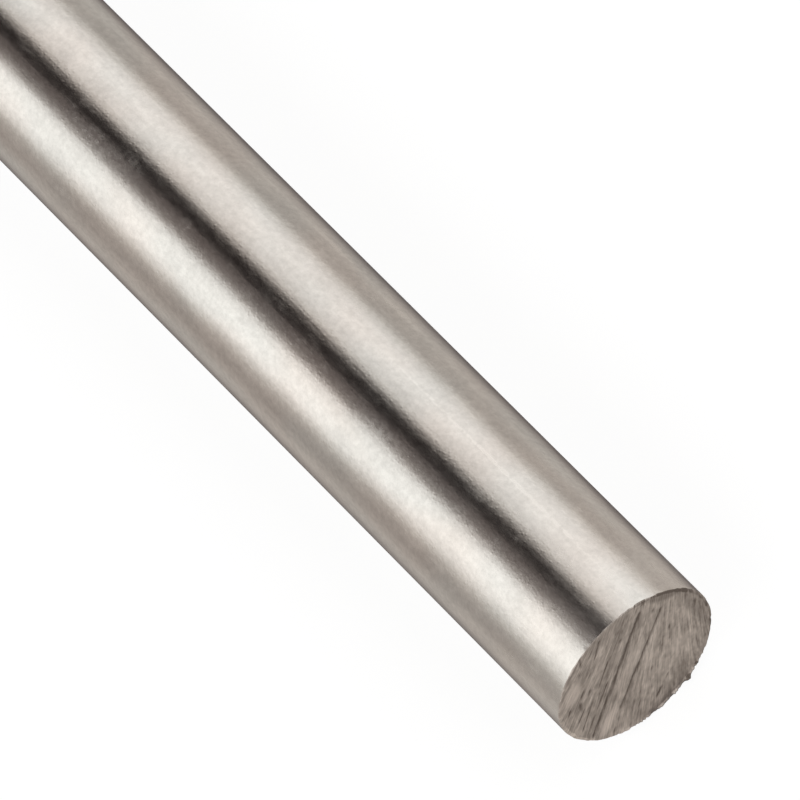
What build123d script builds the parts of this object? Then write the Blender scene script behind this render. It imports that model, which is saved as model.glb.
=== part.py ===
from build123d import *

import os

# Half-inch round bar: one twelve-inch cut length of bright solid stock, lying on its side.
# The bar runs along X and rests on the plane Z = 0. The origin is on that plane, below the
# middle of the bar. Lengths are in millimetres.

DIAMETER = 12.7  # half an inch, drawn to size
LENGTH = 304.8  # twelve inches, measured over the two sawn ends
EDGE_BREAK = 0.1  # the saw's sharp corner, knocked back at each end

RADIUS = DIAMETER / 2


def drawn_section():
    """The round section that the die leaves, square to X and tangent to the plane Z = 0."""
    return Plane.YZ * Pos(0, RADIUS) * Circle(RADIUS)


def cut_length(section):
    """The section carried along X, half of the length to each side, between two square cuts."""
    return extrude(section, LENGTH / 2, both=True)


def break_edges(bar):
    """The same bar with the sharp corner around each sawn end taken off."""
    return chamfer(bar.edges().filter_by(GeomType.CIRCLE), EDGE_BREAK)


def round_bar():
    """The whole bar as one solid."""
    return break_edges(cut_length(drawn_section()))


os.makedirs("parts", exist_ok=True)
export_step(round_bar(), "parts/round_bar.step")
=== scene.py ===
"""Looks of a half-inch round bar: its drawn skin, its two sawn ends, and the light round it."""

from math import cos, pi, radians, sin

import bpy
import numpy as np
from mathutils import Matrix, Vector

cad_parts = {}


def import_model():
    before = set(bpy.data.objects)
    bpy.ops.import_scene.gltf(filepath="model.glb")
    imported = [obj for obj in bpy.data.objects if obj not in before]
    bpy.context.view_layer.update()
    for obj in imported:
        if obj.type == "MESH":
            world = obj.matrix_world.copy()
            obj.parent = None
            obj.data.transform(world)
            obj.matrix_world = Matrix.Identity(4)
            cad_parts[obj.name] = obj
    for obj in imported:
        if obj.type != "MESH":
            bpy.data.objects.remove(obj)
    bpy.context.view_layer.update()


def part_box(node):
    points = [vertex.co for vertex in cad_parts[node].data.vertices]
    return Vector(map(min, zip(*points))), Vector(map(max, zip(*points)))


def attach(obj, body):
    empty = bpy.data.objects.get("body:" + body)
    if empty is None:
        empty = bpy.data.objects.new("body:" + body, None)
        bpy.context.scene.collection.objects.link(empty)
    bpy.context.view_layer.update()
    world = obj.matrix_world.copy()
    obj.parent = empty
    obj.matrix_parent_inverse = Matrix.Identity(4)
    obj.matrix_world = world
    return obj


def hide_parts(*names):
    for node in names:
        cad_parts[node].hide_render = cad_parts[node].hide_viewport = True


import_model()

# The bar, as the frame gives it. It lies along X on the floor Z = 0, and its near end is at +X.
LOW, HIGH = (Vector(corner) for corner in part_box("round_bar"))
RADIUS = (HIGH.y - LOW.y) / 2
HALF_LENGTH = (HIGH.x - LOW.x) / 2
MM = 0.001

# The camera: a long lens that looks down on the near end, along the bar's own upright plane.
LENS = 519.5  # this and the next are in millimetres, as a Blender camera takes them
SENSOR = 36.0
CAMERA_DISTANCE = 768.3 * MM
ANGLE_TO_AXIS = radians(59.35)  # between the line of sight and the bar
CAMERA_ROLL = radians(45.0)
AIM_FROM_END = 26.95 * MM  # where it looks: this far from the near end,
AIM_ASIDE = 1.37 * MM  # and this far from the bar's middle line, towards +Y

# Light seen by the metal, as (degrees from straight up towards +Y, brightness).
TENT = (
    (-90, 0.45),
    (-84, 0.57),
    (-76, 0.88),
    (-66, 1.27),
    (-52, 1.43),
    (-36, 1.30),
    (-30, 1.02),
    (-24, 0.38),
    (-17, 0.17),
    (-8, 0.13),
    (-2, 0.01),
    (12, 0.01),
    (17.3, 0.35),
    (20.9, 0.78),
    (30, 0.98),
    (52, 1.22),
    (70, 1.08),
    (80, 0.86),
    (88, 0.55),
)
# The floor as the metal sees it, with light and shadow painted on: the bar's shadow dark under and
# beside it, and a brighter strip further out, as (millimetres from the bar's middle towards +Y,
# brightness).
FLOOR_PAINTED_LIGHT_AND_SHADOW = (
    (-300, 0.48),
    (-100, 0.42),
    (-40, 0.40),
    (-24, 0.48),
    (-15, 0.56),
    (-11, 0.40),
    (-8.5, 0.18),
    (-6.5, 0.06),
    (6.5, 0.06),
    (8.5, 0.10),
    (11, 0.26),
    (14, 0.46),
    (20, 0.60),
    (36, 0.52),
    (100, 0.48),
    (300, 0.50),
)
WARMTH = 0.07  # how much redder the light's dim parts are than its bright ones
TAN = 0.05  # how much less blue its middle greys are
RAMP_GAIN = 2.0  # a ramp's stop holds 1 at most, so it is this many times dimmer than its light
END_GAIN = 20.0  # how much faster the floor's painted shadow gives way beyond an end than beside the bar
FLOOR_HALF = 2.0
FLOOR_WHITE = 0.89  # the floor's even part as the camera sees it
FLOOR_SHADE = 0.186  # its lit part, which keeps a faint shadow
WHITE = (1, 1, 1, 1)

# The mesh: points round the bar, and lines of points along each stroke of the saw.
RIM_STEPS = 840
HALF_STEPS = RIM_STEPS // 2
RIM_STEP = 2 * pi / RIM_STEPS
NEAR_ROWS = 76
FAR_ROWS = 24
COLLAR = 0.5 * MM  # the ring of finer points inside each rim
COLLAR_RINGS = 8
ROUND_RINGS = 4
SKIN_RINGS = (0.4, 0.8, 1.4, 2.2, 3.2, 4.4, 6.0, 8.0, 11.0)  # millimetres from each end
MIDDLE_RINGS = 12  # more rings, evenly spaced between those
MIDDLE_INSET = 20  # how far the first and the last of them are from the ends, in millimetres

# The saw's strokes fan out from a distant point. On the near face they run at SAW_ANGLE, from
# +Y towards +Z, and the far face is turned from it by a number of rim steps.
SAW_ANGLE = radians(47)
FAR_TURN_STEPS = 280
FAN_REACH = 3.0 * RADIUS  # how far that point is from a face's centre
FAN_TURN = radians(7)  # its direction from the strokes' angle
STROKES = (  # cell across and along, and depth, in millimetres; slant in radians; tone
    (0.55, 6.0, 0.008, 0, 0.35),  # long and broad
    (0.19, 2.2, 0.012, 0, 0.55),  # shorter
    (0.17, 0.45, 0.010, 0.12, 0.55),  # torn flecks, steeper than the strokes
    (0.11, 0.25, 0.004, 0.12, 0.30),  # the finest flecks
)
WAVER = 0.10 * MM  # how far the strokes stray from straight
WAVER_CELL = 1.5 * MM  # over about this distance
BLOTCHES = ((1.3 * MM, 0.30), (0.2 * MM, 0.20))  # cell and tone of the clouds and of the grit
NOISE_REACH = 1.5 * RADIUS  # how far from a face's centre its random relief goes

# Seeds of the two faces' random relief, and what is added for each part that has its own.
NEAR_SEED = 11
FAR_SEED = 23
EDGE_SEED = 1
BURR_SEED = 2
MARK_SEED = 3

# Marks on the near face, in radii from its centre: towards +Y, then towards +Z.
GROOVES = (  # from, to, half width, depth
    ((-0.86, -0.46), (0.43, 0.75), 0.165 * MM, 0.060 * MM),
    ((-0.45, -0.43), (0.63, 0.51), 0.130 * MM, 0.045 * MM),
    ((-0.28, 0.68), (-0.07, 0.93), 0.085 * MM, 0.040 * MM),
    ((-0.42, 0.78), (-0.36, 0.93), 0.100 * MM, 0.035 * MM),
    ((-0.88, 0.21), (-0.78, 0.32), 0.100 * MM, 0.070 * MM),
    ((-0.73, 0.12), (-0.68, 0.28), 0.150 * MM, 0.030 * MM),
    ((-0.65, 0.31), (-0.55, 0.42), 0.080 * MM, 0.035 * MM),
    ((-0.57, 0.24), (-0.50, 0.34), 0.100 * MM, 0.040 * MM),
    ((-0.88, -0.35), (-0.66, -0.13), 0.085 * MM, 0.030 * MM),
    ((-0.88, -0.20), (-0.56, 0.12), 0.085 * MM, 0.035 * MM),
    ((-0.90, -0.06), (-0.66, 0.14), 0.070 * MM, 0.025 * MM),
    ((-0.62, -0.10), (-0.30, 0.20), 0.060 * MM, 0.020 * MM),
    ((-0.45, 0.20), (-0.16, 0.50), 0.060 * MM, 0.020 * MM),
    ((-0.09, -0.80), (0.06, -0.69), 0.110 * MM, 0.050 * MM),
    ((0.12, -0.65), (0.20, -0.58), 0.100 * MM, 0.045 * MM),
    ((-0.30, -0.68), (-0.20, -0.57), 0.095 * MM, 0.030 * MM),
    ((-0.66, -0.70), (-0.59, -0.61), 0.110 * MM, 0.035 * MM),
    ((0.07, -0.31), (0.13, -0.23), 0.100 * MM, 0.030 * MM),
    ((0.50, 0.05), (0.56, 0.14), 0.095 * MM, 0.030 * MM),
    ((0.50, 0.54), (0.54, 0.61), 0.075 * MM, 0.030 * MM),
    ((0.88, 0.03), (0.92, 0.14), 0.100 * MM, 0.035 * MM),
    ((0.44, 0.82), (0.55, 0.80), 0.120 * MM, 0.040 * MM),
)
SMEARS = (  # centre, half length, half width, angle in degrees, brightness
    ((-0.68, 0.49), 0.17, 0.11, 50, 1.15),
    ((-0.60, -0.43), 0.24, 0.075, 40, 1.25),
    ((-0.05, 0.07), 0.34, 0.09, 43, 0.65),
    ((0.13, -0.06), 0.14, 0.09, 60, 0.45),
    ((0.10, 0.27), 0.20, 0.07, 43, 0.25),
    ((0.47, -0.30), 0.18, 0.10, 65, 0.30),
    ((-0.72, 0.20), 0.10, 0.10, 60, -0.55),
    ((0.88, 0.00), 0.60, 0.10, 90, -0.75),
    ((0.72, 0.62), 0.26, 0.07, -45, -1.10),
    ((0.75, -0.55), 0.30, 0.10, 52, -0.55),
    ((0.25, -0.70), 0.30, 0.13, 20, -0.30),
    ((0.05, 0.90), 0.40, 0.10, 0, -0.30),
    ((0.31, -0.90), 0.09, 0.05, 80, -0.60),
)
SMEAR_FADE = (0.55, 1.25)  # where a smear starts to fade and is gone, in its own half sizes
SMEAR_CALM = 0.6  # how much of the strokes a full smear wipes away
RAGGED_CELL = 0.16 * MM  # cells of the two noises that make the grooves uneven
WORN_CELL = 0.7 * MM
GROOVE_RAGGED = 0.30  # how much each of the two changes a groove's width
GROOVE_WORN = 0.15
GROOVE_TAPER = (-0.35 * MM, 0.15 * MM)  # how far outside its ends it starts to fade and is gone
GROOVE_TIP = 0.4  # how much of its width is left at its tips
GROOVE_CALM = 0.6  # how much of the strokes' tone its trench wipes away
GROOVE_DARK = 1.8  # how dark its trench is, and how unevenly
GROOVE_DARK_UNEVEN = 0.5
SHOULDER_PLACE = 1.9  # a groove's shoulders: how far aside and how wide, in its half widths,
SHOULDER_WIDTH = 0.8
SHOULDER_HEIGHT = 0.3  # and how high, in its depths

# The rims: rounding that is uneven all round and worn in places, and a burr along the foot.
EDGE_SIZE = 0.07 * MM
EDGE_UNEVEN = 0.8
EDGE_LAYERS = ((130, 0.6), (40, 0.4))  # noises: peaks round the rim, and strength
WORN_RIM = (  # degrees from +Y, half width in degrees, added rounding, tone
    (40, 24, 0.03 * MM, -2.4),
    (-12, 30, 0.12 * MM, -1.3),
    (186, 24, 0.16 * MM, 1.9),
)
WORN_UNEVEN = 0.35  # how much the rim's noises change the worn rounding
WORN_TONE = 0.8  # how much of the tone is even, and how much follows the noises
WORN_TONE_UNEVEN = 0.6
WORN_FADE = (0.6, 1.0)  # how far across the collar the worn tone starts and is full
BURR_HEIGHT = 0.15 * MM
BURR_FOOT = (0.6, 0.85)  # radii below the centre at which the burr starts and is full
BURR_LEVEL = 0.45  # its even part, its noises and its highest teeth, as shares of its height
BURR_LAYERS = ((300, 0.4), (60, 0.35))
BURR_MOST = 1.2
BURR_FADE = (0.45, 1.0)  # how far across the collar it starts and is full
BURR_TONE = 0.7
BURR_SHOWS = (0.03 * MM, 0.09 * MM)  # heights at which its tone starts and is full
CURLS = ((-72.5, 2.5, 0.20 * MM), (-61.5, 1.8, 0.08 * MM))  # degrees from +Y, half width, size
CURL_OUT = 0.5  # how much of its size a curl stands out from the rim
CURL_TONE = -3.0
CURL_SHOWS = (0.03 * MM, 0.10 * MM)  # sizes at which its tone starts and is full
CURL_FADE = (0.4, 0.9)  # how far across the collar it does so

# Colours of the steel: the skin's and the sawn face's darkest and lightest, and the skin's tints.
SKIN_DARK, SKIN_LIGHT = (0.565, 0.53, 0.495), (0.735, 0.69, 0.645)
SAWN_DARK, SAWN_LIGHT = (0.19, 0.157, 0.135), (0.93, 0.84, 0.765)
WARM_TINT, COOL_TINT = (1.0, 0.975, 0.96), (0.985, 1.0, 1.0)

# Noise patterns: peaks per metre along X, Y and Z, detail, and roughness of the noise.
MOTTLE = ((2300, 2300, 2300), 2.0, 0.6)
CLOUD = ((420, 700, 700), 2.0, 0.5)
DRIFT = ((120, 250, 250), 1.0, 0.5)
DRAG = ((45, 3000, 3000), 2.0, 0.5)
SATIN = ((900, 2600, 2600), 2.0, 0.6)
PATCHES = ((260, 1000, 1000), 2.0, 0.5)
SPECK_PATCHES = ((60, 150, 150), 1.0, 0.5)
FURROWS = ((10000, 550, 1), 3.0, 0.6)  # these two lie across and along the saw's strokes
GRAIN = ((5000, 4000, 1), 3.0, 0.6)
NOISE_SPAN = (0.3, 0.7)  # where nearly all of a noise's values lie

# What other stretches of a noise's values are turned into.
DRIFT_TINT = ((0.35, 0.65), (0, 1))  # from the warm tint to the cool one
PATCH_COVER = ((0.57, 0.72), (0, 0.7))  # how strong the small dull patches are
PATCH_GRAIN = ((0.35, 0.6), (0.3, 1.3))  # how the mottle breaks them up
SCUFF_GRAIN = ((0.36, 0.62), (0.25, 1.2))  # how it breaks up the scuffs
SPECK_COVER = ((0.4, 0.65), (0.3, 0.9))  # how many of the cells hold a speck

# The skin: how much each pattern lightens it, how rough it is and how high its relief is.
MOTTLE_SHADE = 0.55
CLOUD_SHADE = 0.35
DRAG_SHADE = 0.15
# Painted light: how much the skin's colour is lifted towards its ends, where the light round it is
# brighter.
PAINTED_END_LIGHT = 0.16
SCUFF_SHADE = 0.9
SATIN_ROUGH = (0.17, 0.22)
HAZE_ROUGH = 0.028
PATCH_ROUGH = 0.08
SCUFF_ROUGH = 0.075
MOTTLE_HEIGHT = 0.0068 * MM
DRAG_HEIGHT = 0.4  # as a share of the mottle's
SPECK_HEIGHT = 0.003 * MM
SPECKS_PER_METRE = 3600.0
SPECK_SIZE = 0.4  # a speck's radius, in cells
HAZE_AND_LIGHT_LENGTH = 20 * MM  # how far from an end its wide haze, and the light painted on with it, reaches
VICE_MARK_AND_END_LIGHT = (7 * MM, 3 * MM)  # how far from an end its second, narrow haze, and the light painted on with it, starts and is full

# Rubbed places on the skin: millimetres from the near end, degrees from the top towards +Y,
# half length and half width in millimetres.
SCUFFS = (
    (22.3, -9, 2.4, 0.60),
    (44.5, -4, 0.8, 0.40),
    (53.5, -4, 3.4, 0.50),
    (3.2, 24, 0.25, 1.20),
    (14.5, 27, 10.0, 0.13),
    (29.5, 60, 2.2, 0.30),
    (37.0, 61, 2.4, 0.30),
    (141.0, -35, 4.0, 0.50),
    (210.0, 80, 3.0, 0.40),
)
SCUFF_FADE = (0.2, 1.3)  # where a scuff starts to fade and is gone, in its own half sizes

# The sawn metal. Its furrows and grain are finer than the mesh holds.
FURROW_TONE = 0.8
SAWN_SPAN = (-2.0, 2.0)  # tones of the darkest and the lightest colour
SAWN_ROUGH = (0.42, 0.58)
FURROW_HEIGHT = 0.016 * MM
GRAIN_HEIGHT = 0.6  # as a share of the furrows'

# Sockets of a Mix node that is set to colours.
COLOUR_A, COLOUR_B, COLOUR_RESULT = 6, 7, 2


# ---------------------------------------------------------------- small helpers


def smooth(value, low, high):
    """0 below low, 1 above high, and a smooth step between them."""
    part = np.clip((value - low) / (high - low), 0.0, 1.0)
    return part * part * (3 - 2 * part)


def lattice_noise(a, b, cell_a, cell_b, rng):
    """Smooth random values from -1 to 1 over a face, with peaks a cell apart each way."""
    cells = [int(2 * NOISE_REACH / cell) + 2 for cell in (cell_a, cell_b)]
    lattice = rng.uniform(-1, 1, cells)
    a, b = (a + NOISE_REACH) / cell_a, (b + NOISE_REACH) / cell_b
    i, j = a.astype(int), b.astype(int)
    s, t = smooth(a - i, 0, 1), smooth(b - j, 0, 1)
    low = lattice[i, j] * (1 - t) + lattice[i, j + 1] * t
    high = lattice[i + 1, j] * (1 - t) + lattice[i + 1, j + 1] * t
    return low * (1 - s) + high * s


def blotches(p, q, cell, rng):
    """Smooth random values from -1 to 1 over a face, as fine one way as the other."""
    return lattice_noise(p, q, cell, cell, rng)


def ring_noise(angle, peaks, rng):
    """Smooth random values from -1 to 1 round a rim, with the given number of peaks."""
    values = rng.uniform(-1, 1, peaks)
    place = angle / (2 * pi) * peaks % peaks
    i = place.astype(int) % peaks
    t = smooth(place - place.astype(int), 0, 1)
    return values[i] * (1 - t) + values[(i + 1) % peaks] * t


def layered_ring(angle, level, layers, rng):
    """A level with layers of noise round a rim added to it, each as (peaks, strength)."""
    return sum((strength * ring_noise(angle, peaks, rng) for peaks, strength in layers), level)


# ---------------------------------------------------------------- the sawn faces


def from_segment(p, q, start, end):
    """How far each point is from a line between two points, and how far outside its ends."""
    (p0, q0), (p1, q1) = (np.array(point) * RADIUS for point in (start, end))
    length = np.hypot(p1 - p0, q1 - q0)
    along = ((p - p0) * (p1 - p0) + (q - q0) * (q1 - q0)) / length
    aside = ((q - q0) * (p1 - p0) - (p - p0) * (q1 - q0)) / length
    return aside, np.maximum(-along, along - length)


def groove(p, q, start, end, width, depth):
    """Relief of a score that the blade cut deeper, with low shoulders, and its trench, 0 to 1."""
    aside, outside = from_segment(p, q, start, end)
    taper = 1 - smooth(outside, *GROOVE_TAPER)
    trench = np.exp(-((aside / (width * (GROOVE_TIP + (1 - GROOVE_TIP) * taper))) ** 2))
    beside = (np.abs(aside) - SHOULDER_PLACE * width) / (SHOULDER_WIDTH * width)
    shoulder = np.exp(-(beside**2))
    return taper * depth * (SHOULDER_HEIGHT * shoulder - trench), taper * trench


def smear(p, q, centre, half_length, half_width, degrees):
    """1 in the middle of an oval patch, fading to 0 at its edge."""
    turn = radians(degrees)
    p, q = p / RADIUS - centre[0], q / RADIUS - centre[1]
    along, aside = p * cos(turn) + q * sin(turn), q * cos(turn) - p * sin(turn)
    return 1 - smooth(np.hypot(along / half_length, aside / half_width), *SMEAR_FADE)


class SawnFace:
    """Relief and tone of one sawn end, over (p, q): metres from its centre to +Y and to +Z."""

    def __init__(self, angle, seed, marked):
        self.angle = angle
        self.seed = seed
        self.marked = marked
        self.focus = FAN_REACH * np.array([cos(angle + FAN_TURN), sin(angle + FAN_TURN)])

    def stroke_frame(self, p, q):
        """Each point's place across and along the strokes, which fan out from a distant point."""
        p, q = self.focus[0] - p, self.focus[1] - q
        turn = np.arctan2(q, p) - self.angle - FAN_TURN
        turn = (turn + pi) % (2 * pi) - pi
        return FAN_REACH * turn, FAN_REACH - np.hypot(p, q)

    def relief(self, p, q):
        """Height above the plane of the cut, and tone, less than 0 where the metal is darker."""
        rng = np.random.default_rng(self.seed)
        height, tone = self.strokes(p, q, rng)
        for cell, strength in BLOTCHES:
            tone = tone + strength * blotches(p, q, cell, rng)
        if self.marked:
            rng = np.random.default_rng(self.seed + MARK_SEED)
            ragged, worn = blotches(p, q, RAGGED_CELL, rng), blotches(p, q, WORN_CELL, rng)
            height, tone = add_smears(p, q, height, tone)
            height, tone = add_grooves(p, q, height, tone, ragged, worn)
        return height, tone

    def strokes(self, p, q, rng):
        """Height and tone of the saw's furrows: long ones, shorter ones, and torn flecks."""
        across, along = self.stroke_frame(p, q)
        across = across + WAVER * blotches(p, q, WAVER_CELL, rng)
        height, tone = 0.0, 0.0
        for cell_across, cell_along, depth, slant, shading in STROKES:
            place = across + slant * along, along - slant * across
            furrow = lattice_noise(*place, cell_across * MM, cell_along * MM, rng)
            height = height + depth * furrow
            tone = tone + shading * furrow
        return MM * height, tone


def add_smears(p, q, height, tone):
    """A face's height and tone, with its strokes wiped smoother, pale or dark, in places."""
    for *place, brightness in SMEARS:
        cover = smear(p, q, *place)
        calm = 1 - SMEAR_CALM * cover * abs(brightness)
        height = height * calm
        tone = tone * calm + brightness * cover
    return height, tone


def add_grooves(p, q, height, tone, ragged, worn):
    """A face's height and tone, with dark grooves of uneven width cut into it."""
    darkness = GROOVE_DARK + GROOVE_DARK_UNEVEN * worn
    for start, end, width, depth in GROOVES:
        widths = width * (1 + GROOVE_RAGGED * ragged + GROOVE_WORN * worn)
        cut, trench = groove(p, q, start, end, widths, depth)
        height = height + cut
        tone = tone * (1 - GROOVE_CALM * trench) - darkness * trench
    return height, tone


def chord_grid(radius, angle, rows):
    """Points of a disc in lines along the saw's strokes, its faces, and its rim.

    The rim's points go round it in the order of their angles, from a right angle before the
    strokes' own.
    """
    turn = -pi / 2 + pi * np.arange(1, HALF_STEPS) / HALF_STEPS
    across = np.repeat(radius * np.sin(turn), rows + 1)
    along = np.outer(radius * np.cos(turn), np.linspace(-1, 1, rows + 1)).ravel()
    across = np.concatenate([[-radius], across, [radius]])
    along = np.concatenate([[0], along, [0]])
    p = across * sin(angle) + along * cos(angle)
    q = -across * cos(angle) + along * sin(angle)
    last = len(p) - 1
    point = 1 + np.arange((HALF_STEPS - 1) * (rows + 1)).reshape(HALF_STEPS - 1, rows + 1)
    faces = quads(point[:-1, :-1], point[1:, :-1], point[1:, 1:], point[:-1, 1:])
    faces += [(0, a, b) for a, b in zip(point[0, :-1].tolist(), point[0, 1:].tolist())]
    faces += [(last, b, a) for a, b in zip(point[-1, :-1].tolist(), point[-1, 1:].tolist())]
    rim = np.concatenate([[last], point[::-1, -1], [0], point[:, 0]])
    return p, q, faces, rim


def quads(*corners):
    """Faces from four equal arrays of corner points."""
    return np.stack([corner.ravel() for corner in corners], axis=1).tolist()


# ---------------------------------------------------------------- the rims


def near_angle(angle, degrees, half_width):
    """1 at a place round the rim, fading to 0 beyond about twice the half width from it."""
    apart = 1 - np.cos(angle - radians(degrees))
    return np.exp(-apart / (1 - cos(radians(half_width))))


def edge_break(angle, face):
    """Size of the rounding where a sawn face meets the skin, and the tone it adds to the face."""
    rng = np.random.default_rng(face.seed + EDGE_SEED)
    uneven = layered_ring(angle, 0.0, EDGE_LAYERS, rng)
    size = EDGE_SIZE * (1 + EDGE_UNEVEN * uneven)
    tone = np.zeros_like(angle)
    for degrees, half_width, extra, added_tone in WORN_RIM if face.marked else ():
        worn = near_angle(angle, degrees, half_width)
        size = size + extra * worn * (1 + WORN_UNEVEN * uneven)
        tone = tone + added_tone * worn * (WORN_TONE + WORN_TONE_UNEVEN * uneven)
    return size, tone


def burr(angle, face):
    """Height of the ragged lip that the saw pushed out along the foot of its cut."""
    rng = np.random.default_rng(face.seed + BURR_SEED)
    ragged = layered_ring(angle, BURR_LEVEL, BURR_LAYERS, rng)
    return BURR_HEIGHT * smooth(-np.sin(angle), *BURR_FOOT) * np.clip(ragged, 0, BURR_MOST)


def curls(angle, face):
    """Size of the small curls of metal that hang on the near face's burr."""
    size = np.zeros_like(angle)
    for middle, half_width, reach in CURLS if face.marked else ():
        size = size + reach * np.exp(-(((angle - radians(middle)) / radians(half_width)) ** 2))
    return size


def rim_angles(first_angle):
    """Angles of the points round a ring, from +Y towards +Z, between -pi and pi."""
    return (first_angle + RIM_STEP * np.arange(RIM_STEPS) + pi) % (2 * pi) - pi


class Rim:
    """The collar of finer points round a sawn face, and the rounding from it to the skin."""

    def __init__(self, face, first_angle):
        self.face = face
        self.angle = rim_angles(first_angle)
        self.size, self.worn = edge_break(self.angle, face)
        self.lip = burr(self.angle, face)
        self.curl = curls(self.angle, face)

    def ring(self, step):
        """One ring's distance from the bar's middle, its place on the face, and its tone."""
        flat = min(step / COLLAR_RINGS, 1.0)
        bend = max(step - COLLAR_RINGS, 0) / ROUND_RINGS * pi / 2
        rise = smooth(flat, *BURR_FADE) * cos(bend) ** 2
        radius = RADIUS - COLLAR + flat * (COLLAR - self.size) + self.size * sin(bend)
        radius = radius + CURL_OUT * self.curl * sin(2 * bend)
        p, q = radius * np.cos(self.angle), radius * np.sin(self.angle)
        height, tone = self.face.relief(p, q)
        height = height * cos(bend) + (self.lip + self.curl) * rise
        x = HALF_LENGTH + height - self.size * (1 - cos(bend))
        tone = tone + self.worn * smooth(flat, *WORN_FADE)
        tone = tone + BURR_TONE * rise * smooth(self.lip, *BURR_SHOWS)
        tone = tone + CURL_TONE * smooth(self.curl, *CURL_SHOWS) * smooth(flat, *CURL_FADE)
        return x, p, q, tone


# ---------------------------------------------------------------- the bar


class BarMesh:
    """Points and faces of the bar, gathered ring by ring and joined into one closed mesh."""

    def __init__(self):
        self.points, self.tones, self.saws = [], [], []
        self.faces, self.sawn = [], []
        self.count = 0

    def add_points(self, x, p, q, tone, saw):
        """More points, with their tones and their places across and along the saw's strokes."""
        block = np.stack([x, p, q + RADIUS], axis=1)
        self.points.append(block)
        self.tones.append(tone)
        self.saws.append(np.stack([*saw, np.zeros_like(x)], axis=1))
        first = self.count
        self.count += len(block)
        return first + np.arange(len(block))

    def add_faces(self, faces, sawn):
        """More faces, all of the sawn ends or all of the skin."""
        self.faces += faces
        self.sawn += [sawn] * len(faces)

    def bridge(self, inner, outer, sawn):
        """Faces between two rings of points, seen from the side where angles grow leftwards."""
        following, ahead = np.roll(inner, -1), np.roll(outer, -1)
        self.add_faces(quads(inner, outer, ahead, following), sawn)


def add_disc(bar, face, side, rows):
    """The flat middle of a sawn face. Returns the ring of points at its edge."""
    p, q, faces, rim = chord_grid(RADIUS - COLLAR, face.angle, rows)
    height, tone = face.relief(p, q)
    points = bar.add_points(side * (HALF_LENGTH + height), p, q, tone, face.stroke_frame(p, q))
    if side < 0:
        faces = [polygon[::-1] for polygon in faces]
    bar.add_faces([[points[i] for i in polygon] for polygon in faces], True)
    return points[rim]


def add_end(bar, face, side, rows, first_angle):
    """One sawn face, its collar and its rounded edge. Returns the last ring, on the skin."""
    first_rim_angle = face.angle - pi / 2
    shift = round((first_rim_angle - first_angle) / RIM_STEP)
    ring = np.roll(add_disc(bar, face, side, rows), shift)
    rim = Rim(face, first_angle)
    for step in range(1, COLLAR_RINGS + ROUND_RINGS + 1):
        x, p, q, tone = rim.ring(step)
        following = bar.add_points(side * x, p, q, tone, face.stroke_frame(p, q))
        pair = (ring, following) if side > 0 else (following, ring)
        bar.bridge(*pair, True)
        ring = following
    return ring


def skin_stations():
    """Distances from the near end at which the skin has a ring of points."""
    length = 2 * HALF_LENGTH / MM
    middle = np.linspace(MIDDLE_INSET, length - MIDDLE_INSET, MIDDLE_RINGS)
    far = [length - value for value in reversed(SKIN_RINGS)]
    return np.array([*SKIN_RINGS, *middle, *far]) * MM


def build_bar():
    """The whole bar: its two ends, and the skin between them, whose rings start at one angle."""
    bar = BarMesh()
    near = SawnFace(SAW_ANGLE, NEAR_SEED, True)
    far = SawnFace(SAW_ANGLE + FAR_TURN_STEPS * RIM_STEP, FAR_SEED, False)
    first_angle = near.angle - pi / 2
    ring = add_end(bar, near, 1, NEAR_ROWS, first_angle)
    far_ring = add_end(bar, far, -1, FAR_ROWS, first_angle)
    angle = rim_angles(first_angle)
    p, q = RADIUS * np.cos(angle), RADIUS * np.sin(angle)
    plain = np.zeros_like(angle)
    for distance in skin_stations():
        x = np.full(RIM_STEPS, HALF_LENGTH - distance)
        following = bar.add_points(x, p, q, plain, (plain, plain))
        bar.bridge(ring, following, False)
        ring = following
    bar.bridge(ring, far_ring, False)
    return bar


def bar_object(skin, sawn):
    """The bar as a piece that stands for the CAD node, with its two materials."""
    bar = build_bar()
    mesh = bpy.data.meshes.new("round_bar_looks")
    mesh.from_pydata(np.concatenate(bar.points).tolist(), [], bar.faces)
    mesh.materials.append(skin)
    mesh.materials.append(sawn)
    mesh.polygons.foreach_set("material_index", np.array(bar.sawn, dtype=np.int32))
    tone = mesh.attributes.new("tone", "FLOAT", "POINT")
    tone.data.foreach_set("value", np.concatenate(bar.tones).astype(np.float32))
    saw = mesh.attributes.new("saw", "FLOAT_VECTOR", "POINT")
    saw.data.foreach_set("vector", np.concatenate(bar.saws).astype(np.float32).ravel())
    mesh.polygons.foreach_set("use_smooth", np.ones(len(mesh.polygons), dtype=bool))
    mesh.update()
    piece = bpy.data.objects.new("round_bar_looks", mesh)
    bpy.context.scene.collection.objects.link(piece)
    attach(piece, "root")
    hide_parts("round_bar")
    return piece


# ---------------------------------------------------------------- shader nodes


def new_material(name):
    """A new material, its node tree and its Principled shader."""
    material = bpy.data.materials.new(name)
    material.use_nodes = True
    tree = material.node_tree
    return material, tree, tree.nodes["Principled BSDF"]


def add_node(tree, kind, settings=None, inputs=None):
    """A new node with its settings, and with numbers or links on its inputs."""
    node = tree.nodes.new(kind)
    for name, value in (settings or {}).items():
        setattr(node, name, value)
    for name, value in (inputs or {}).items():
        if isinstance(value, bpy.types.NodeSocket):
            tree.links.new(value, node.inputs[name])
        else:
            node.inputs[name].default_value = value
    return node


def calculate(tree, operation, *values):
    """The result of a Math node."""
    node = add_node(tree, "ShaderNodeMath", {"operation": operation}, dict(enumerate(values)))
    return node.outputs[0]


def remap(tree, value, span, new_span):
    """A value with the ends of one span moved to the ends of another, and held within it."""
    ends = ("From Min", "From Max", "To Min", "To Max")
    inputs = {"Value": value, **dict(zip(ends, (*span, *new_span)))}
    return add_node(tree, "ShaderNodeMapRange", None, inputs).outputs["Result"]


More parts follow.
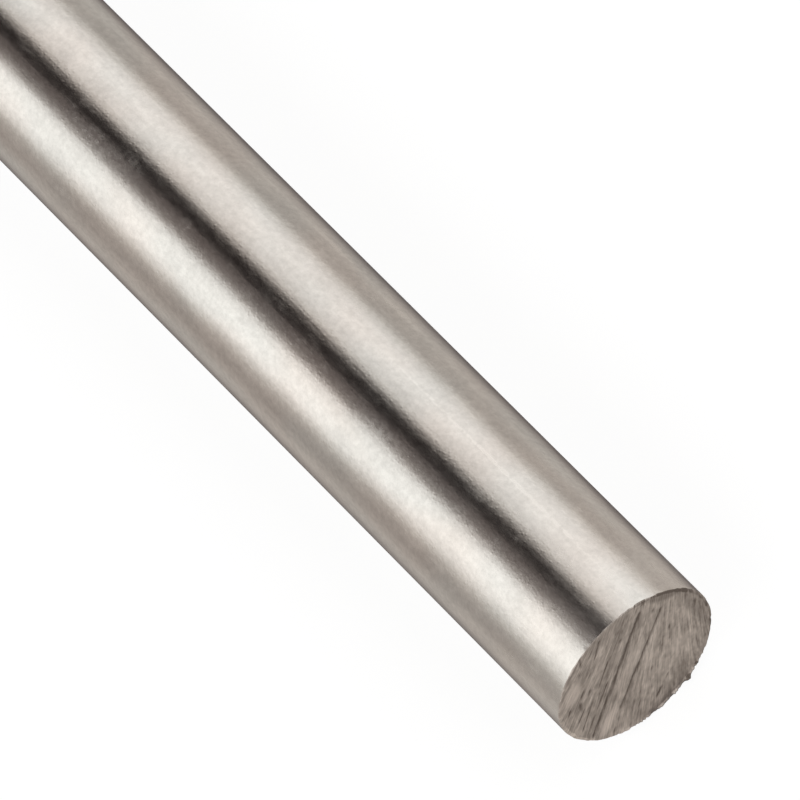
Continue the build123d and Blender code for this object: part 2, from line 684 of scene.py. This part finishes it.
def noise(tree, vector, peaks, detail, roughness):
    """Noise with so many peaks per metre along X, Y and Z."""
    scaled = add_node(tree, "ShaderNodeMapping", None, {"Vector": vector, "Scale": peaks})
    inputs = {"Vector": scaled.outputs[0], "Scale": 1.0, "Detail": detail, "Roughness": roughness}
    return add_node(tree, "ShaderNodeTexNoise", None, inputs).outputs["Fac"]


def blend_colours(tree, factor, first, second):
    """A colour that is the first where the factor is 0 and the second where it is 1."""
    inputs = {"Factor": factor, COLOUR_A: (*first, 1), COLOUR_B: (*second, 1)}
    node = add_node(tree, "ShaderNodeMix", {"data_type": "RGBA"}, inputs)
    return node.outputs[COLOUR_RESULT]


def multiply_colours(tree, first, second):
    """The product of two colours."""
    settings = {"data_type": "RGBA", "blend_type": "MULTIPLY"}
    inputs = {"Factor": 1.0, COLOUR_A: first, COLOUR_B: second}
    return add_node(tree, "ShaderNodeMix", settings, inputs).outputs[COLOUR_RESULT]


def bump(tree, height, distance, normal=None):
    """Relief in which a height of 1 stands the given distance out from a height of 0."""
    inputs = {"Height": height, "Distance": distance, "Strength": 1.0}
    if normal is not None:
        inputs["Normal"] = normal
    return add_node(tree, "ShaderNodeBump", None, inputs).outputs["Normal"]


# ---------------------------------------------------------------- the skin


def skin_material():
    """Bright drawn steel: satin, mottled, with drag lines, specks, scuffs, hazy ends and light
    painted on towards its ends.
    """
    material, tree, shader = new_material("bar_skin")
    place = add_node(tree, "ShaderNodeTexCoord").outputs["Object"]
    mottle = noise(tree, place, *MOTTLE)
    drag = noise(tree, place, *DRAG)
    hazy_and_lit_ends = end_haze_and_light(tree, place)
    broken = remap(tree, mottle, *SCUFF_GRAIN)
    scuffed = calculate(tree, "MULTIPLY", scuffs(tree, place), broken)
    colour = skin_colour(tree, place, mottle, drag, hazy_and_lit_ends, scuffed)
    tree.links.new(colour, shader.inputs["Base Color"])
    rough = skin_roughness(tree, place, mottle, hazy_and_lit_ends, scuffed)
    tree.links.new(rough, shader.inputs["Roughness"])
    relief = skin_relief(tree, place, mottle, drag)
    tree.links.new(relief, shader.inputs["Normal"])
    shader.inputs["Metallic"].default_value = 1.0
    return material


def skin_colour(tree, place, mottle, drag, hazy_and_lit_ends, scuffed):
    """Mottled greys, paler where the skin is scuffed and where light is painted on towards its
    ends, that drift from warm to cool.
    """
    shade = remap(tree, mottle, NOISE_SPAN, (0, MOTTLE_SHADE))
    cloud = remap(tree, noise(tree, place, *CLOUD), NOISE_SPAN, (0, CLOUD_SHADE))
    shade = calculate(tree, "ADD", shade, cloud)
    shade = calculate(tree, "ADD", shade, remap(tree, drag, NOISE_SPAN, (0, DRAG_SHADE)))
    # Painted light: the skin's colour is lifted towards its ends.
    shade = calculate(tree, "MULTIPLY_ADD", hazy_and_lit_ends, PAINTED_END_LIGHT, shade)
    shade = calculate(tree, "MULTIPLY_ADD", scuffed, SCUFF_SHADE, shade)
    colour = blend_colours(tree, shade, SKIN_DARK, SKIN_LIGHT)
    drift = remap(tree, noise(tree, place, *DRIFT), *DRIFT_TINT)
    tint = blend_colours(tree, drift, WARM_TINT, COOL_TINT)
    return multiply_colours(tree, colour, tint)


def skin_roughness(tree, place, mottle, hazy_and_lit_ends, scuffed):
    """Satin, and rougher at the hazy ends, in small dull patches and where it is scuffed."""
    patches = remap(tree, noise(tree, place, *PATCHES), *PATCH_COVER)
    broken = remap(tree, mottle, *PATCH_GRAIN)
    dulled = calculate(tree, "MULTIPLY", patches, broken)
    rough = remap(tree, noise(tree, place, *SATIN), NOISE_SPAN, SATIN_ROUGH)
    rough = calculate(tree, "MULTIPLY_ADD", hazy_and_lit_ends, HAZE_ROUGH, rough)
    rough = calculate(tree, "MULTIPLY_ADD", dulled, PATCH_ROUGH, rough)
    return calculate(tree, "MULTIPLY_ADD", scuffed, SCUFF_ROUGH, rough)


def skin_relief(tree, place, mottle, drag):
    """The mottle and the drag lines as fine relief, with specks standing on it."""
    height = calculate(tree, "MULTIPLY_ADD", drag, DRAG_HEIGHT, mottle)
    relief = bump(tree, height, MOTTLE_HEIGHT)
    return bump(tree, specks(tree, place), SPECK_HEIGHT, relief)


def scuffs(tree, place):
    """Where the skin was rubbed: 1 in the middle of a scuff, fading to 0 round it."""
    parts = add_node(tree, "ShaderNodeSeparateXYZ", None, {0: place}).outputs
    back = calculate(tree, "SUBTRACT", HALF_LENGTH, parts["X"])
    above = calculate(tree, "SUBTRACT", parts["Z"], RADIUS)
    turn = calculate(tree, "ARCTAN2", parts["Y"], above)
    rubbed = 0.0
    for from_end, degrees, half_length, half_width in SCUFFS:
        along, around = 1 / (half_length * MM), RADIUS / (half_width * MM)
        x = calculate(tree, "MULTIPLY_ADD", back, along, -from_end / half_length)
        y = calculate(tree, "MULTIPLY_ADD", turn, around, -radians(degrees) * around)
        offset = add_node(tree, "ShaderNodeCombineXYZ", None, {"X": x, "Y": y}).outputs[0]
        apart = add_node(tree, "ShaderNodeVectorMath", {"operation": "LENGTH"}, {0: offset})
        spot = remap(tree, apart.outputs["Value"], SCUFF_FADE, (1, 0))
        rubbed = calculate(tree, "MAXIMUM", spot, rubbed)
    return rubbed


def end_haze_and_light(tree, place):
    """How much the skin was dulled by the vice and the saw, which also sets how much light is
    painted on its colour: 0 along the bar, 2 at its ends.
    """
    parts = add_node(tree, "ShaderNodeSeparateXYZ", None, {0: place})
    x = calculate(tree, "ABSOLUTE", parts.outputs["X"])
    wide = remap(tree, x, (HALF_LENGTH - HAZE_AND_LIGHT_LENGTH, HALF_LENGTH), (0, 1))
    narrow = remap(tree, x, tuple(HALF_LENGTH - inset for inset in VICE_MARK_AND_END_LIGHT), (0, 1))
    return calculate(tree, "ADD", wide, narrow)


def specks(tree, place):
    """Fine specks, 1 at their middles, scattered in loose patches."""
    inputs = {"Vector": place, "Scale": SPECKS_PER_METRE, "Randomness": 1.0}
    cells = add_node(tree, "ShaderNodeTexVoronoi", None, inputs)
    patches = remap(tree, noise(tree, place, *SPECK_PATCHES), *SPECK_COVER)
    chance = calculate(tree, "FRACT", cells.outputs["Color"])
    chosen = calculate(tree, "GREATER_THAN", patches, chance)
    spots = remap(tree, cells.outputs["Distance"], (0.0, SPECK_SIZE), (1, 0))
    return calculate(tree, "MULTIPLY", spots, chosen)


# ---------------------------------------------------------------- the sawn ends' metal


def sawn_material():
    """The sawn end: duller, brown-grey, with furrows finer than the mesh holds."""
    material, tree, shader = new_material("bar_sawn")
    saw = add_node(tree, "ShaderNodeAttribute", {"attribute_name": "saw"}).outputs["Vector"]
    tone = add_node(tree, "ShaderNodeAttribute", {"attribute_name": "tone"}).outputs["Fac"]
    furrow = noise(tree, saw, *FURROWS)
    grain = noise(tree, saw, *GRAIN)
    streaks = remap(tree, furrow, NOISE_SPAN, (-FURROW_TONE, FURROW_TONE))
    shade = remap(tree, calculate(tree, "ADD", tone, streaks), SAWN_SPAN, (0, 1))
    colour = blend_colours(tree, shade, SAWN_DARK, SAWN_LIGHT)
    tree.links.new(colour, shader.inputs["Base Color"])
    rough = remap(tree, grain, NOISE_SPAN, SAWN_ROUGH)
    tree.links.new(rough, shader.inputs["Roughness"])
    height = calculate(tree, "MULTIPLY_ADD", grain, GRAIN_HEIGHT, furrow)
    tree.links.new(bump(tree, height, FURROW_HEIGHT), shader.inputs["Normal"])
    shader.inputs["Metallic"].default_value = 1.0
    return material


# ---------------------------------------------------------------- floor, light and camera


def floor():
    """A pale floor: a soft grey to the metal, with the bar's shadow and a brighter strip beside it
    painted in, and near white with a faint shadow to the camera.
    """
    bpy.ops.mesh.primitive_plane_add(size=2 * FLOOR_HALF, location=(0, 0, 0))
    piece = bpy.context.object
    piece.name = "floor"
    material, tree, shader = new_material("floor_paper_with_painted_shadow")
    tree.nodes.remove(shader)
    reach = -FLOOR_PAINTED_LIGHT_AND_SHADOW[0][0] * MM
    # The floor's painted light and shadow for the metal: dark under and beside the bar, brighter
    # further out.
    lit = ramp(tree, remap(tree, distance_aside(tree), (-reach, reach), (0, 1)), FLOOR_PAINTED_LIGHT_AND_SHADOW)
    grey = glow(tree, "ShaderNodeEmission", lit, RAMP_GAIN)
    paper = add_node(tree, "ShaderNodeBsdfDiffuse", None, {"Color": (FLOOR_SHADE,) * 3 + (1,)})
    white = glow(tree, "ShaderNodeEmission", WHITE, FLOOR_WHITE)
    shown = add_node(tree, "ShaderNodeAddShader", None, {0: paper.outputs[0], 1: white})
    both = by_viewer(tree, grey, shown.outputs[0])
    tree.links.new(both, tree.nodes["Material Output"].inputs["Surface"])
    piece.data.materials.append(material)


def glow(tree, kind, colour, strength):
    """A shader that glows: an Emission node in a material, or a Background node in the world."""
    return add_node(tree, kind, None, {"Color": colour, "Strength": strength}).outputs[0]


def distance_aside(tree):
    """How far a point of the floor is from the bar's middle line, less than 0 on the -Y side.

    Beyond an end of the bar, the way along X counts END_GAIN times.
    """
    place = add_node(tree, "ShaderNodeTexCoord").outputs["Object"]
    parts = add_node(tree, "ShaderNodeSeparateXYZ", None, {0: place}).outputs
    beyond = calculate(tree, "SUBTRACT", calculate(tree, "ABSOLUTE", parts["X"]), HALF_LENGTH)
    beyond = calculate(tree, "MULTIPLY", calculate(tree, "MAXIMUM", beyond, 0.0), END_GAIN)
    offset = add_node(tree, "ShaderNodeCombineXYZ", None, {"X": beyond, "Y": parts["Y"]})
    length = add_node(tree, "ShaderNodeVectorMath", {"operation": "LENGTH"}, {0: offset.outputs[0]})
    side = calculate(tree, "SIGN", parts["Y"])
    return calculate(tree, "MULTIPLY", side, length.outputs["Value"])


def by_viewer(tree, to_metal, to_camera):
    """One look for the camera, straight on or through glass, and one for the metal.

    If the metal saw the camera's white all round it, its grey sides would be nearly white too.
    """
    rays = add_node(tree, "ShaderNodeLightPath").outputs
    straight = calculate(tree, "MAXIMUM", rays["Is Camera Ray"], rays["Is Transmission Ray"])
    inputs = {0: straight, 1: to_metal, 2: to_camera}
    return add_node(tree, "ShaderNodeMixShader", None, inputs).outputs[0]


def world():
    """White to the camera. To the metal, a tent of two long soft panels with a slot overhead."""
    sky = bpy.data.worlds.new("tent")
    bpy.context.scene.world = sky
    sky.use_nodes = True
    tree = sky.node_tree
    tree.nodes.clear()
    way = add_node(tree, "ShaderNodeTexCoord").outputs["Generated"]
    parts = add_node(tree, "ShaderNodeSeparateXYZ", None, {0: way}).outputs
    lean = calculate(tree, "ARCTAN2", parts["Y"], parts["Z"])
    reach = radians(-TENT[0][0])
    light = ramp(tree, remap(tree, lean, (-reach, reach), (0, 1)), TENT)
    tent = glow(tree, "ShaderNodeBackground", light, RAMP_GAIN)
    white = glow(tree, "ShaderNodeBackground", WHITE, 1.0)
    out = add_node(tree, "ShaderNodeOutputWorld")
    tree.links.new(by_viewer(tree, tent, white), out.inputs["Surface"])


def ramp(tree, place, stops):
    """Soft greys along a place from 0 to 1, RAMP_GAIN times dimmer than the stops say."""
    node = add_node(tree, "ShaderNodeValToRGB", None, {0: place})
    elements = node.color_ramp.elements
    while len(elements) < len(stops):
        elements.new(1.0)
    reach = -stops[0][0]
    for element, (position, level) in zip(elements, stops):
        element.position = (position + reach) / (2 * reach)
        element.color = (*(part / RAMP_GAIN for part in light_colour(level)), 1)
    return node.outputs[0]


def light_colour(level):
    """Red, green and blue of a grey light: warmer where it is dim, and tan in its middle greys."""
    grey = min(level, 1.0)
    return level ** (1 - WARMTH), level, level * (1 - 4 * TAN * grey * (1 - grey))


def camera():
    """The camera, leaning back from the bar's middle line and rolled about its own axis."""
    lens = bpy.data.cameras.new("camera")
    lens.lens, lens.sensor_width = LENS, SENSOR
    eye = bpy.data.objects.new("camera", lens)
    bpy.context.scene.collection.objects.link(eye)
    back = Vector((cos(ANGLE_TO_AXIS), 0, sin(ANGLE_TO_AXIS)))
    aim = Vector((HALF_LENGTH - AIM_FROM_END, AIM_ASIDE, RADIUS))
    right = Vector((0, 1, 0))
    up = back.cross(right)
    turn = Matrix((right, up, back)).transposed() @ Matrix.Rotation(-CAMERA_ROLL, 3, "Z")
    eye.matrix_world = Matrix.LocRotScale(aim + CAMERA_DISTANCE * back, turn.to_quaternion(), None)
    bpy.context.scene.camera = eye


camera()
world()
floor()
bar_object(skin_material(), sawn_material())

bpy.context.scene.view_settings.view_transform = "Standard"
